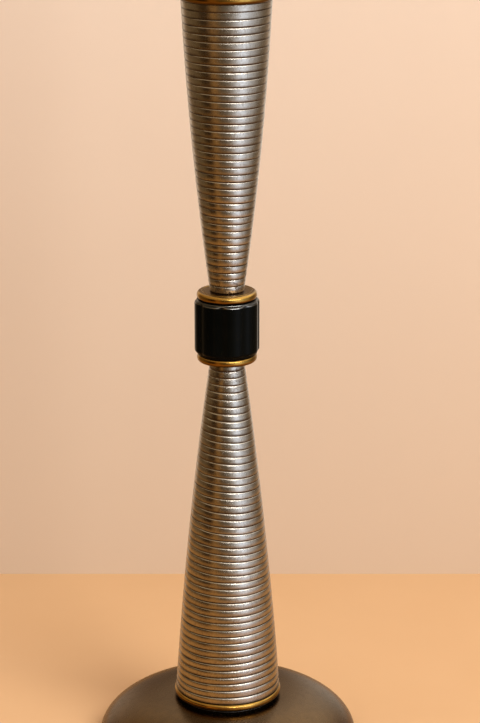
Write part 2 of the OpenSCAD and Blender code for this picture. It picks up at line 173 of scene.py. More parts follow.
# %% [markdown]
# ## The floor, the wall and the light
# A polished column shows the room more than itself, so the light matters as much as the metal. The
# floor and the wall are plain and pale. What the metal sees is painted in the world as soft upright
# bands, as cards set round a product in a studio would give: a broad soft light to the right of the
# camera, a dark side to the left with one warm stripe in it, a pale ceiling and a warm floor. Real
# cards would do the same with many more objects, and they would show in other views. Above the broad
# light there is a much brighter one, which gives rounded edges their small highlights.

# %% Paint the world
world = bpy.data.worlds.new("studio")
bpy.context.scene.world = world
world.use_nodes = True
sky = world.node_tree
direction = add(sky, "TexCoord").outputs["Generated"]
turned = add(sky, "Mapping", {"Vector": direction, "Rotation": (0, 0, math.radians(90))})
around = add(sky, "TexGradient", {"Vector": turned.outputs["Vector"]}, gradient_type="RADIAL")
upward = add(sky, "SeparateXYZ", {"Vector": direction}).outputs["Z"]


def bearing(degrees):
    """The gradient's value in a direction, in degrees to the right of the camera's side of the lamp."""
    return degrees / 360 + 0.5


# The direction of each band and the light that comes from there
CARDS = (
    (-180, (0.24, 0.16, 0.10)), (-168, (0.30, 0.20, 0.13)), (-158, (0.74, 0.58, 0.43)),
    (-146, (0.70, 0.54, 0.39)), (-136, (0.40, 0.26, 0.15)), (-126, (0.20, 0.12, 0.055)),
    (-100, (0.14, 0.085, 0.035)), (-80, (0.12, 0.067, 0.022)), (-70, (0.040, 0.018, 0.003)),
    (-48, (0.022, 0.008, 0.0)), (-39, (0.30, 0.14, 0.035)), (-28, (0.27, 0.13, 0.035)),
    (-20, (0.105, 0.065, 0.028)), (0, (0.13, 0.10, 0.065)), (14, (0.31, 0.26, 0.20)),
    (28, (0.68, 0.66, 0.64)), (36, (1.10, 1.15, 1.24)), (52, (1.18, 1.25, 1.36)),
    (62, (0.70, 0.71, 0.73)), (84, (0.44, 0.40, 0.355)), (102, (0.20, 0.15, 0.10)),
    (124, (0.20, 0.135, 0.075)), (140, (0.46, 0.32, 0.21)), (150, (0.66, 0.54, 0.42)),
    (160, (0.86, 0.77, 0.66)), (168, (0.76, 0.67, 0.57)), (175, (0.30, 0.20, 0.13)),
    (180, (0.24, 0.16, 0.10)),
)
cards = add(sky, "ValToRGB", {"Fac": around.outputs["Fac"]})
stops = cards.color_ramp.elements
for number, (degrees, light) in enumerate(CARDS):
    if number in (0, len(CARDS) - 1):
        stop = stops[0 if number == 0 else len(stops) - 1]
        stop.position = bearing(degrees)
    else:
        stop = stops.new(bearing(degrees))
    stop.color = (*light, 1)

sideways = add(sky, "SeparateXYZ", {"Vector": direction}).outputs["X"]
below = colors(sky, spread(sky, sideways, -0.5, 0.4), (0.36, 0.16, 0.04), (0.66, 0.33, 0.12))
low_side = colors(sky, spread(sky, upward, -0.75, -0.35), below, cards.outputs["Color"])
ceiling = colors(sky, spread(sky, sideways, -0.45, 0.4), (0.54, 0.39, 0.22), (1.50, 1.36, 1.16))
all_round = colors(sky, spread(sky, upward, 0.30, 0.62), low_side, ceiling)

# The small bright light, with soft edges on all four sides
from_front = spread(sky, around.outputs["Fac"], bearing(2), bearing(12))
to_right = spread(sky, around.outputs["Fac"], bearing(52), bearing(62), 1.0, 0.0)
from_below = spread(sky, upward, 0.42, 0.46)
to_top = spread(sky, upward, 0.52, 0.56, 1.0, 0.0)
small_light = calculate(sky, "MULTIPLY", calculate(sky, "MULTIPLY", from_front, to_right),
                        calculate(sky, "MULTIPLY", from_below, to_top))
all_round = colors(sky, small_light, all_round, (10.0, 9.6, 9.0))

# Reflections see the bands, and all else sees one even colour
in_reflection = add(sky, "LightPath").outputs["Is Glossy Ray"]
room = colors(sky, in_reflection, (0.72, 0.62, 0.535), all_round)
background = sky.nodes["Background"]
sky.links.new(room, background.inputs["Color"])
background.inputs["Strength"].default_value = 1.0
print("world painted with", len(CARDS), "bands")

# %% [markdown]
# The wall is only there for the front view, so it lets the camera through from behind. It and the
# floor are kept out of reflections, because the world already holds what the metal should see. The one
# thing the world can't hold is the floor close to the lamp, which the low parts reflect strongly. So a
# warm disc lies just over the floor, seen by reflections alone, and fades out with distance.

# %% Lay the floor and stand the wall
def stage_sheet(name, size, location, rotation, made):
    bpy.ops.object.select_all(action="DESELECT")
    bpy.ops.mesh.primitive_plane_add(size=1, location=location, rotation=rotation)
    sheet = bpy.context.object
    sheet.name = name
    sheet.scale = (*size, 1)
    bpy.ops.object.transform_apply(location=True, rotation=True, scale=True)
    sheet.data.materials.append(made)
    sheet.visible_glossy = False
    sheet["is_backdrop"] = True


WALL_BEHIND = 0.515
GLOW_RADIUS, GLOW_HEIGHT = 1.7, 0.0008
LIGHT_AT = (3.42, -3.78, 4.82)
LIGHT_TURN = (math.radians(48), 0, math.radians(42))

floor_finish, tree, shader = finish("warm_floor", Roughness=0.6)
clouds = grain(tree, 2.2, 4)
wire(tree, shader, colors(tree, spread(tree, clouds, 0.3, 0.7), (0.74, 0.49, 0.275), (0.78, 0.53, 0.31)))
wall_finish, tree, shader = finish("pale_wall", Roughness=0.9)
clouds = grain(tree, 1.4, 3)
height = add(tree, "SeparateXYZ", {"Vector": points(tree)}).outputs["Z"]
# The wall is painted darker towards the floor, as painted shade.
wall_paint_and_shade = colors(tree, spread(tree, height, 0.0, 1.1), (0.70, 0.585, 0.48), (0.85, 0.80, 0.775))
wire(tree, shader, colors(tree, spread(tree, clouds, 0.3, 0.7, 0.0, 0.12), wall_paint_and_shade, (0.60, 0.50, 0.42)))
seen_through = add(tree, "MixShader", {
    0: add(tree, "NewGeometry").outputs["Backfacing"], 1: shader.outputs["BSDF"],
    2: add(tree, "BsdfTransparent").outputs["BSDF"]})
tree.links.new(seen_through.outputs["Shader"], tree.nodes["Material Output"].inputs["Surface"])

stage_sheet("floor", (40, 40), (0, 0, 0), (0, 0, 0), floor_finish)
stage_sheet("wall", (40, 12), (0, WALL_BEHIND, 6), (math.radians(90), 0, 0), wall_finish)

bpy.ops.object.light_add(type="AREA", location=LIGHT_AT, rotation=LIGHT_TURN)
key_light = bpy.context.object
key_light.data.shape = "DISK"
key_light.data.size = 3.6
key_light.data.energy = 317
key_light.data.color = (1.0, 0.90, 0.78)
key_light.visible_glossy = False
bpy.context.scene.view_settings.view_transform = "Standard"

bpy.ops.mesh.primitive_circle_add(vertices=64, radius=GLOW_RADIUS, fill_type="NGON",
                                  location=(0, 0, GLOW_HEIGHT))
glow = bpy.context.object
glow.name = "floor_glow"
glow_finish = bpy.data.materials.new("floor_glow")
glow_finish.use_nodes = True
tree = glow_finish.node_tree
distance = add(tree, "VectorMath", {0: points(tree)}, operation="LENGTH").outputs["Value"]
across = add(tree, "SeparateXYZ", {"Vector": points(tree)}).outputs["X"]
# The disc's light is a painted reflection of the floor near the lamp, a little darker to the left as painted
# shadow.
warm = colors(tree, spread(tree, across, -0.5, 0.5), (0.56, 0.24, 0.055), (0.62, 0.29, 0.09))
warm = add(tree, "Emission", {"Color": warm}).outputs["Emission"]
clear = add(tree, "BsdfTransparent").outputs["BSDF"]
share = spread(tree, distance, 0.6, GLOW_RADIUS - 0.1, 0.25, 1.0)
faded = add(tree, "MixShader", {0: share, 1: warm, 2: clear})
tree.links.new(faded.outputs["Shader"], tree.nodes["Material Output"].inputs["Surface"])
glow_finish.cycles.emission_sampling = "NONE"
glow.data.materials.append(glow_finish)
glow.visible_camera = glow.visible_diffuse = glow.visible_shadow = glow.visible_transmission = False
glow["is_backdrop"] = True
print("floor, wall and key light set")

# %% [markdown]
# ## The nickel strip
# The cones are wound with flat nickel strip that has gone grey and warm with age. It was polished
# round the column, so its finest lines run round it too. Brown tarnish sits in spots near the knop. The
# grooves and each band's lower edge are painted dark brown, as painted shade with some tarnish, and the
# groove faces have a near-black finish of their own, painted shade with some old polish and dust. How
# dark each place is painted, and how old it is, is stored on the mesh as attributes, which the finish reads.

# %% Nickel for the strip
strip_nickel, tree, shader = finish("strip_nickel", metallic=1.0)
edge = add(tree, "Attribute", attribute_name="groove", attribute_type="GEOMETRY").outputs["Fac"]
tone = add(tree, "Attribute", attribute_name="tone", attribute_type="GEOMETRY").outputs["Fac"]
age = add(tree, "Attribute", attribute_name="age", attribute_type="GEOMETRY").outputs["Fac"]
lines = grain(tree, 1.0, 2, (35, 35, 2600))
patches = grain(tree, 26, 5, (1, 1, 1.6), 0.65)
spots = grain(tree, 210, 3, (1, 1, 1.3), 0.6)
flecks = grain(tree, 560, 4, (1, 1, 0.45), 0.7)
metal = colors(tree, spread(tree, patches, 0.3, 0.72), (0.70, 0.675, 0.645), (0.56, 0.53, 0.495))
metal = colors(tree, spread(tree, lines, 0.3, 0.75, 0.0, 0.32), metal, (0.34, 0.30, 0.26))
metal = colors(tree, tone, metal, (0.80, 0.75, 0.69))
metal = colors(tree, spread(tree, flecks, 0.52, 0.70, 0.0, 0.55), metal, (0.24, 0.18, 0.12))
# The groove attribute paints the grooves and the bands' lower edges dark brown: painted shade, with some
# tarnish.
groove_shade_and_tarnish = calculate(tree, "MULTIPLY", spread(tree, edge, 0.1, 0.8, 0.0, 1.25), spread(tree, spots, 0.0, 0.5))
metal = colors(tree, spread(tree, groove_shade_and_tarnish, 0.0, 1.0, 0.0, 0.9), metal, (0.075, 0.045, 0.022))
spotted = calculate(tree, "MULTIPLY", spread(tree, spots, 0.545, 0.62), spread(tree, age, 0.0, 1.0))
metal = colors(tree, calculate(tree, "MULTIPLY", spotted, 0.85), metal, (0.10, 0.055, 0.03))
shine = spread(tree, patches, 0.25, 0.8, 0.15, 0.27)
shine = calculate(tree, "ADD", shine, spread(tree, lines, 0.2, 0.8, -0.03, 0.08))
shine = calculate(tree, "ADD", shine, calculate(tree, "MULTIPLY", spotted, 0.3))
wire(tree, shader, metal, shine, calculate(tree, "ADD", lines, flecks), 0.00006, 0.8)

# A near-black finish for the faces deep in the grooves: painted shade, with some old polish and dust.
groove_shade_and_dirt, tree, shader = finish("groove_shade_and_dirt", metallic=0.3)
crumbs = grain(tree, 420, 4)
wire(tree, shader, colors(tree, crumbs, (0.022, 0.015, 0.010), (0.075, 0.054, 0.036)),
     spread(tree, crumbs, 0.2, 0.8, 0.5, 0.8), crumbs, 0.0002)
print("strip finishes ready")

# %% [markdown]
# ## Brass, bronze and black
# The rings are brass that was lacquered long ago: gold on the rounded edge, browner and duller on the
# flat tops. The undersides and the corners are painted dark brown as painted shade; the ambient occlusion
# node finds the corners. The base and the bowl are dark bronze with a dull, slightly mottled skin. The
# knops are turned from a hard black material with a high polish, which shows only as reflections and a
# few fine scratches. They reflect weakly on the sides and strongly in a narrow band round each shoulder,
# set by how far the surface faces up, which paints a highlight there.

# %% Brass, bronze and black
def brass(name, bright, dull, low_shine, high_shine):
    made, tree, shader = finish(name, metallic=1.0)
    corner = add(tree, "AmbientOcclusion", {"Distance": 0.006}, samples=6).outputs["AO"]
    clouds = grain(tree, 60, 5, (1, 1, 1), 0.6)
    lines = grain(tree, 1.0, 2, (40, 40, 2400))
    pits = grain(tree, 700, 2)
    color = colors(tree, spread(tree, clouds, 0.3, 0.75), bright, dull)
    color = colors(tree, spread(tree, lines, 0.35, 0.8, 0.0, 0.25), color, (0.25, 0.14, 0.045))
    # Corners that the ambient occlusion node finds are painted dark brown, as painted shade.
    color = colors(tree, spread(tree, corner, 0.35, 0.95, 0.92, 0.0), color, (0.09, 0.048, 0.014))
    color = colors(tree, spread(tree, pits, 0.62, 0.7, 0.0, 0.5), color, (0.13, 0.075, 0.03))
    facing = upward_share(tree)
    # Undersides are painted dark brown, as painted shade.
    color = colors(tree, spread(tree, facing, -0.55, -0.05, 0.93, 0.0), color, (0.07, 0.036, 0.010))
    flat_top = spread(tree, facing, 0.9, 0.99, 0.0, 0.75)
    color = colors(tree, flat_top, color, (0.24, 0.155, 0.09))
    shine = spread(tree, clouds, 0.25, 0.8, low_shine, high_shine)
    shine = calculate(tree, "ADD", shine, calculate(tree, "MULTIPLY", flat_top, 0.12))
    wire(tree, shader, color, shine, calculate(tree, "ADD", lines, clouds), 0.00005, 0.7)
    return made


aged_brass = brass("aged_brass", (0.62, 0.37, 0.085), (0.40, 0.225, 0.05), 0.13, 0.26)

dark_bronze, tree, shader = finish("dark_bronze", metallic=1.0)
clouds = grain(tree, 14, 5, (1, 1, 1), 0.6)
mottle = grain(tree, 130, 4, (1, 1, 1), 0.65)
pits = grain(tree, 900, 2)
color = colors(tree, spread(tree, clouds, 0.3, 0.7), (0.178, 0.106, 0.047), (0.130, 0.078, 0.036))
color = colors(tree, spread(tree, mottle, 0.35, 0.75, 0.0, 0.5), color, (0.11, 0.075, 0.043))
color = colors(tree, spread(tree, pits, 0.66, 0.72, 0.0, 0.6), color, (0.32, 0.23, 0.14))
shine = spread(tree, mottle, 0.25, 0.8, 0.21, 0.33)
wire(tree, shader, color, shine, calculate(tree, "ADD", mottle, pits), 0.00008, 0.6)

black_gloss, tree, shader = finish("black_gloss")
clouds = grain(tree, 40, 4)
scratches = grain(tree, 1.0, 2, (900, 900, 60), 0.7)
color = colors(tree, clouds, (0.0012, 0.0016, 0.0015), (0.0028, 0.0034, 0.0032))
shine = calculate(tree, "ADD", spread(tree, clouds, 0.3, 0.7, 0.05, 0.09),
                  spread(tree, scratches, 0.6, 0.75, 0.0, 0.12))
wire(tree, shader, color, shine, clouds, 0.00004, 0.5)
# The IOR rises in a narrow band of upward facing round each shoulder, which paints a highlight there, and
# stays low on the sides.
facing = upward_share(tree)
shoulder_highlight = calculate(tree, "MULTIPLY", spread(tree, facing, 0.24, 0.34),
                   spread(tree, facing, 0.46, 0.58, 1.0, 0.15))
tree.links.new(spread(tree, shoulder_highlight, 0.0, 1.0, 1.13, 2.9), shader.inputs["IOR"])
print("brass, bronze and black ready")

# %% [markdown]
# ## Finishes for the small and hidden parts
# The steel, iron, felt, rubber, glass and porcelain parts mostly sit inside. They still get real
# finishes, because a part taken out of the library may be looked at on its own. They differ in only a
# few values, so one helper makes them.

# %% The remaining finishes
def plain_finish(name, first, second, low_shine, high_shine, size, depth, metallic=0.0,
                 stretch=(1, 1, 1), **values):
    made, tree, shader = finish(name, metallic=metallic, **values)
    clouds = grain(tree, size * 0.12, 4, stretch)
    fine = grain(tree, size, 3, stretch)
    color = colors(tree, spread(tree, clouds, 0.3, 0.7), first, second)
    color = colors(tree, spread(tree, fine, 0.55, 0.75, 0.0, 0.35), color, tuple(c * 0.55 for c in second))
    shine = spread(tree, fine, 0.25, 0.75, low_shine, high_shine)
    wire(tree, shader, color, shine, fine, depth, 0.7)
    return made


zinc_steel = plain_finish("zinc_steel", (0.60, 0.60, 0.58), (0.46, 0.47, 0.47), 0.25, 0.42, 380, 0.00008, 1.0)
cast_iron = plain_finish("cast_iron", (0.075, 0.070, 0.066), (0.045, 0.042, 0.040), 0.5, 0.75,
                         520, 0.0003, 0.8)
felt = plain_finish("felt", (0.040, 0.032, 0.026), (0.022, 0.018, 0.015), 0.85, 1.0, 1400, 0.0004,
                    Sheen_Weight=0.5, Sheen_Roughness=0.5)
gland_rubber = plain_finish("gland_rubber", (0.020, 0.020, 0.021), (0.012, 0.012, 0.013), 0.55, 0.75,
                            800, 0.0001)
switch_plastic = plain_finish("switch_plastic", (0.022, 0.020, 0.018), (0.014, 0.013, 0.012), 0.3, 0.45,
                              600, 0.00006)
white_enamel = plain_finish("white_enamel", (0.86, 0.83, 0.76), (0.80, 0.76, 0.68), 0.18, 0.32, 240, 0.00006,
                            Coat_Weight=0.3)
porcelain = plain_finish("porcelain", (0.83, 0.80, 0.73), (0.76, 0.72, 0.64), 0.12, 0.25, 300, 0.00006,
                         Coat_Weight=0.4)
cap_metal = plain_finish("cap_metal", (0.74, 0.73, 0.71), (0.60, 0.59, 0.57), 0.22, 0.38, 460, 0.00006, 1.0)
opal_glass = plain_finish("opal_glass", (0.90, 0.885, 0.85), (0.86, 0.84, 0.80), 0.20, 0.34, 300, 0.00003,
                          Subsurface_Weight=0.25, Subsurface_Scale=0.01)
lead_sheath = plain_finish("lead_sheath", (0.020, 0.017, 0.015), (0.012, 0.010, 0.009), 0.45, 0.6,
                           900, 0.00008)

BY_SLOT = {
    "felt": felt, "zinc_steel": zinc_steel, "dark_bronze": dark_bronze, "ballast_iron": cast_iron,
    "aged_brass": aged_brass, "gland_rubber": gland_rubber, "nickel_strip": strip_nickel,
    "black_gloss": black_gloss, "switch_plastic": switch_plastic, "white_enamel": white_enamel,
    "porcelain": porcelain, "cap_metal": cap_metal, "opal_glass": opal_glass, "lead_sheath": lead_sheath,
}
print(len(BY_SLOT), "finishes by slot")

# %% [markdown]
# Each frame node belongs to one of the record's material slots. The record says which, so the loop
# below can dress all of them at once. The ones that show are replaced further on.

# %% Dress the frame's own nodes
slot_of = {part["node"]: part["material_slot"] for part in frame["record"]["subparts"]}
for node_name, node in frame["nodes"].items():
    node.data.materials.clear()
    node.data.materials.append(BY_SLOT[slot_of[node_name]])
print("dressed", len(slot_of), "nodes")

# %% [markdown]
# ## Turning
# Nearly every part of this lamp came off a lathe or a spinning chuck. The same is done here: a single
# point is drawn into an outline of radius and height by extruding it, and the outline is spun once
# round the upright axis. A cylinder primitive scaled by hand would give neither the rounded edges nor
# the true profile. After the spin, the doubled seam and the points on the axis are merged, and the
# faces are turned outwards.

# %% Helpers for turned parts
def turn(name, outline, steps=128, angle=35):
    """Spins an outline of (radius, height) points, in metres, into a closed shape."""
    bpy.ops.object.select_all(action="DESELECT")
    bpy.ops.mesh.primitive_plane_add(size=MM, location=(0, 0, 0))
    piece = bpy.context.object
    piece.name = piece.data.name = name
    bpy.ops.object.mode_set(mode="EDIT")
    bpy.ops.mesh.select_mode(type="VERT")
    bpy.ops.mesh.select_all(action="SELECT")
    bpy.ops.mesh.merge(type="CENTER")
    radius, height = outline[0]
    bpy.ops.transform.translate(value=(radius, 0, height))
    for (r0, z0), (r1, z1) in zip(outline, outline[1:]):
        bpy.ops.mesh.extrude_vertices_move(TRANSFORM_OT_translate={"value": (r1 - r0, 0, z1 - z0)})
    bpy.ops.mesh.select_all(action="SELECT")
    bpy.ops.mesh.spin(steps=steps, angle=2 * math.pi, center=(0, 0, 0), axis=(0, 0, 1))
    bpy.ops.mesh.select_all(action="SELECT")
    bpy.ops.mesh.remove_doubles(threshold=0.000004)
    bpy.ops.mesh.normals_make_consistent(inside=False)
    bpy.ops.object.mode_set(mode="OBJECT")
    bpy.ops.object.shade_smooth_by_angle(angle=math.radians(angle))
    return piece


def arc(radius, height, size, first, last, count=8):
    """Points round part of a circle. 0 degrees is outwards and 90 degrees is up."""
    steps = [math.radians(first + (last - first) * i / count) for i in range(count + 1)]
    return [(radius + size * math.cos(a), height + size * math.sin(a)) for a in steps]


def closed(outline):
    return outline + outline[:1]


def hand_over(piece, made, body, *nodes):
    """Gives a finished piece its finish, its body and the frame nodes that it stands for."""
    piece.data.materials.append(made)
    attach(piece, body)
    if nodes:
        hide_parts(*nodes)
    return piece


def heights(node_name):
    low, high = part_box(node_name)
    return low.z, high.z


def reach(node_name):
    """Largest radius of a round node about the upright axis."""
    low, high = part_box(node_name)
    return (high.x - low.x) / 2


HOLE = 6.75 * MM
print("turning helpers ready")

# %% [markdown]
# ## The strip-wound cones
# Each cone is a strip of nickel wound edge to edge, so its side is a stack of narrow bands. A band has
# a rounded top edge that catches the light as a thin bright line, a slightly crowned face and a groove
# under it that stays dark. A stack of rings could be made by an array, but each band here has its own
# radius, height and small faults, so the whole side is written as one outline and turned.

# %% Outline of a wound cone
NARROW = 38.4 * MM
BULGE = 3.6 * MM
BAND_HEIGHT = 8.1 * MM
# Share of the band's height from its lower edge, and how far the strip lies inside the cone there
BAND = ((0.00, 0.90), (0.05, 0.50), (0.10, 0.12), (0.18, 0.05), (0.46, 0.00), (0.76, 0.07),
        (0.86, 0.22), (0.93, 0.50), (0.97, 0.80))


def cone_radius(wide, share):
    """Outside radius of a cone at a share of the way from its narrow end to its wide end."""
    return (NARROW + (wide - NARROW) * share) / 2 + 4 * BULGE * share * (1 - share)


def wound_outline(low, high, wide, wide_below, bands, smooth_bands=0):
    """The grooved side from the bottom up, then the smooth inside back down."""
    pitch = (high - low) / bands
    outline = []
    for number in range(bands):
        loose, proud = chance.uniform(-0.03, 0.03), chance.uniform(0, 0.14) * MM
        shallow = 0.45 if number >= bands - smooth_bands else 1.0
        for share, inset in BAND:
            rise = (number + share + (loose if 0 < share < 1 else 0)) * pitch
            t = rise / (high - low)
            radius = cone_radius(wide, 1 - t if wide_below else t)
            outline.append((radius - inset * shallow * MM - proud * (0 < inset < 0.3), low + rise))
    outline.append((cone_radius(wide, 0 if wide_below else 1) - 0.9 * MM, high))
    for step in range(13):
        t = 1 - step / 12
        outline.append((cone_radius(wide, 1 - t if wide_below else t) - 2 * MM, low + (high - low) * t))
    return closed(outline)


print("a band has", len(BAND), "points")

# %% [markdown]
# A hand-wound strip is never level. It drifts down to one side and back, and where one length ends and
# the next begins there is a small kink. Both are added after the turning, by moving the vertices up or
# down. The movement fades out at both ends, where the strip sits against a flat ring. The same step
# stores three values on the mesh for the finish: groove, how dark a place is painted as painted shade for
# lying in a groove or on a band's lower edge; tone, one random lightness for each band; and age, how much
# tarnish a place has. A band's lower edge is painted fully dark, and its upper edge only a little, so it
# stays bright.

# %% Drift, kinks and stored values
def weather_strip(piece, low, high, wide, wide_below, bands, drift, aged_end):
    mesh = piece.data
    place = np.empty(len(mesh.vertices) * 3)
    mesh.vertices.foreach_get("co", place)
    place = place.reshape(-1, 3)
    radius = np.hypot(place[:, 0], place[:, 1])
    share = np.clip((place[:, 2] - low) / (high - low), 0, 1)
    band = np.minimum((share * bands).astype(int), bands - 1)
    t = 1 - share if wide_below else share
    face = cone_radius(wide, t)
    up_band = share * bands % 1
    groove = np.clip((face - radius - 0.1 * MM) / (0.7 * MM), 0, 1)
    # A band's lower edge is painted dark as painted shade; in the upper half only a quarter of the inset
    # counts.
    lower_edge = np.maximum(groove * 1.3, 1 - (up_band - 0.10) / 0.12)
    groove = np.clip(np.where(up_band < 0.5, lower_edge, groove * 0.25), 0, 1)
    tones = np.array([chance.uniform(0, 0.28) ** 1.3 for _ in range(bands)])
    ends = np.clip(np.minimum(share, 1 - share) / 0.06, 0, 1)
    kink = np.array([chance.uniform(-0.5, 0.5) for _ in range(bands)]) * MM
    angle = np.degrees(np.arctan2(place[:, 0], -place[:, 1]))
    near_join = np.exp(-((angle + 50 + 6 * np.sin(share * 9)) / 7) ** 2)
    wander = np.interp(share, [s for s, _ in drift], [d for _, d in drift]) * MM
    lift = (wander * place[:, 0] / np.maximum(radius, 0.001) + kink[band] * near_join) * ends
    place[:, 2] = np.clip(place[:, 2] + lift, low, high)
    mesh.vertices.foreach_set("co", place.ravel())
    narrow_end = share if wide_below else 1 - share
    age = 0.10 + 0.9 * np.clip((narrow_end - (1 - aged_end)) / aged_end, 0, 1) ** 1.5
    for label, values in (("groove", groove), ("tone", tones[band]), ("age", age)):
        stored = mesh.attributes.new(label, "FLOAT", "POINT")
        stored.data.foreach_set("value", values.astype(np.float32))
    # Faces deep in each groove get the second, near-black finish, as painted shade.
    deep = np.zeros(len(mesh.polygons), dtype=np.int32)
    for number, side in enumerate(mesh.polygons):
        level = sum(place[v, 2] - lift[v] for v in side.vertices) / len(side.vertices)
        up_this = (level - low) / (high - low) * bands % 1
        outside = radius[side.vertices[0]] > face[side.vertices[0]] - 1.2 * MM
        if outside and (up_this > 0.972 or up_this < 0.03):
            deep[number] = 1
    mesh.polygons.foreach_set("material_index", deep)
    mesh.update()
    return int(deep.sum())


def wound_cone(number, wide, wide_below, drift, aged_end, smooth_bands=0):
    node_name = f"cone{number}_winding"
    low, high = heights(node_name)
    bands = round((high - low) / BAND_HEIGHT)
    outline = wound_outline(low, high, wide, wide_below, bands, smooth_bands)
    piece = turn(f"wound_strip_{number}", outline, 144, 50)
    hand_over(piece, strip_nickel, "lamp", node_name)
    piece.data.materials.append(groove_shade_and_dirt)
    shaded_faces = weather_strip(piece, low, high, wide, wide_below, bands, drift, aged_end)
    print(piece.name, bands, "bands,", len(piece.data.polygons), "faces,", shaded_faces, "in grooves")


# Drift: share of the way up, and the millimetres that the right side is lifted there
wound_cone(1, 120.6 * MM, True, ((0, 2.6), (0.2, 1.2), (0.45, -2.6), (0.75, -2.2), (1, 0)), 0.16)
wound_cone(2, 99.2 * MM, False, ((0, 0.4), (0.3, -1.2), (0.7, -0.8), (1, 0.6)), 0.14, 2)
wound_cone(3, 99.2 * MM, True, ((0, -0.8), (0.4, 0.9), (0.8, 1.4), (1, 0.4)), 0.16)
wound_cone(4, 82.0 * MM, False, ((0, 0.8), (0.35, -1.1), (0.7, 0.6), (1, -0.5)), 0.14)

# %% [markdown]
# ## The knops
# A knop is the black bead between two cones. It has a round lip above and below and eight broad lobes
# between them, with thin valleys. It could be cut from a turned blank by eight boolean cutters, but the
# lobes blend softly into the shoulders, so the blank is turned and its points are drawn inwards along
# the same curve that the frame uses. Points on the lips stay where they are.

# %% Turn a knop and draw in its lobes
LOBES = 8
FIRST_VALLEY = math.radians(35.8)
VALLEY_DEPTH, LOBE_ROUNDING = 1.5 * MM, 0.175 * MM


def knop(name, node_name):
    low, high = heights(node_name)
    outer = reach(node_name)
    lip, corner, edge = outer - 2.8 * MM, 3.5 * MM, 0.8 * MM
    lobe_low, lobe_high = low + 2 * MM, high - 1 * MM
    side = [(outer, lobe_low + corner + (lobe_high - lobe_low - 2 * corner) * i / 6) for i in range(7)]
    outline = closed(
        [(HOLE, low)] + arc(lip - edge, low + edge, edge, -90, 0, 5)
        + arc(outer - corner, lobe_low + corner, corner, -72, -6, 8) + side
        + arc(outer - corner, lobe_high - corner, corner, 6, 72, 8)
        + arc(lip - edge, high - edge, edge, 0, 90, 5) + [(HOLE, high)])
    piece = turn(name, outline, 240, 40)
    for vertex in piece.data.vertices:
        x, y, z = vertex.co
        radius = math.hypot(x, y)
        if radius > lip + 0.05 * MM and lobe_low < z < lobe_high:
            turns = LOBES * (math.atan2(y, x) - FIRST_VALLEY)
            draw = VALLEY_DEPTH * abs(math.cos(turns / 2)) ** 6 + LOBE_ROUNDING * (1 + math.cos(turns))
            share = min(1, (radius - lip) / (outer - lip) * 1.15)
            smaller = (radius - draw * share) / radius
            vertex.co = (x * smaller, y * smaller, z)
    return hand_over(piece, black_gloss, "lamp", node_name)


for node_name in ("lower_knop", "upper_knop"):
    made_knop = knop(node_name + "_bead", node_name)
    print(made_knop.name, len(made_knop.data.polygons), "faces")

# %% [markdown]
# ## The brass rings
# The collars and rings are flat discs with a rounded edge. On the real thing the edge isn't a perfect
# half circle: it is a little flatter in the middle, with a small step where the tool left the flat. The
# step keeps a dark line when the edge is polished, so it is worth its few faces.

# %% Turn the rings
def ring(name, node_name, made):
    low, high = heights(node_name)
    outer = reach(node_name)
    half = (high - low) / 2
    step = 0.35 * MM
    round_edge = [(outer - half + half * math.cos(a) ** 0.85, low + half + half * math.sin(a))
                  for a in (math.radians(-84 + 12 * i) for i in range(15))]
    outline = closed(
        [(HOLE, low), (outer - half - 1.6 * MM, low), (outer - half - 1.3 * MM, low + step * 0.4),
         (outer - half - 0.4 * MM, low + step * 0.4), (outer - half, low)]
        + round_edge
        + [(outer - half, high), (outer - half - 0.5 * MM, high - step * 0.1),
           (outer - half - 0.8 * MM, high - step), (outer - half - 1.6 * MM, high - step),
           (outer - half - 1.9 * MM, high), (HOLE, high)])
    return hand_over(turn(name, outline, 160, 32), made, "lamp", node_name)


for node_name in ("lower_knop_collar_below", "lower_knop_collar_above", "upper_knop_collar_below",
                  "upper_knop_collar_above", "mid_ring", "top_ring", "base_ring"):
    made_ring = ring(node_name + "_turned", node_name, aged_brass)
    print(made_ring.name, round(reach(node_name) / MM, 1), "mm radius")

low, high = heights("base_seat")
outer = reach("base_seat")
spacer = turn("foot_spacer", closed([(HOLE, low), (outer - 0.5 * MM, low), (outer, low + 0.5 * MM),
                                     (outer - 0.6 * MM, (low + high) / 2), (outer, high - 0.5 * MM),
                                     (outer - 0.5 * MM, high), (HOLE, high)]))
hand_over(spacer, cast_iron, "lamp", "base_seat")

# %% [markdown]
# ## The base
# The base is a shallow dome spun from sheet. Its side is a quarter of an ellipse, and its rim is curled
# in just above the floor. A sphere squashed flat would have no thickness and the wrong curve near the
# rim. The outline is turned with its inside, and the hole for the mains lead is cut with a boolean. The
# bush for the lead fills that hole at the back.

# %% Spin the dome
low, high = heights("base_shell")
outer = reach("base_shell")
flat, edge_height, wall = 60 * MM, 8 * MM, 3 * MM


def dome(inset, count=40):
    turns = [math.radians(90 * i / count) for i in range(count + 1)]
    return [(flat + (outer - inset - flat) * math.sin(a), edge_height
             + (high - inset - edge_height) * math.cos(a)) for a in turns]


outline = ([(HOLE, high)] + dome(0)
           + [(outer - 0.25 * MM, 6.2 * MM), (outer - 0.9 * MM, 4.2 * MM), (outer - 1.8 * MM, 2.4 * MM),
              (outer - 2.7 * MM, low + 0.15 * MM), (outer - 3.4 * MM, low)]
           + [(outer - 5.2 * MM, low), (outer - 5.5 * MM, low + 0.4 * MM)]
           + dome(wall)[::-1] + [(HOLE, high - wall)])
base = turn("spun_base", closed(outline), 192, 40)
hand_over(base, dark_bronze, "lamp", "base_shell")

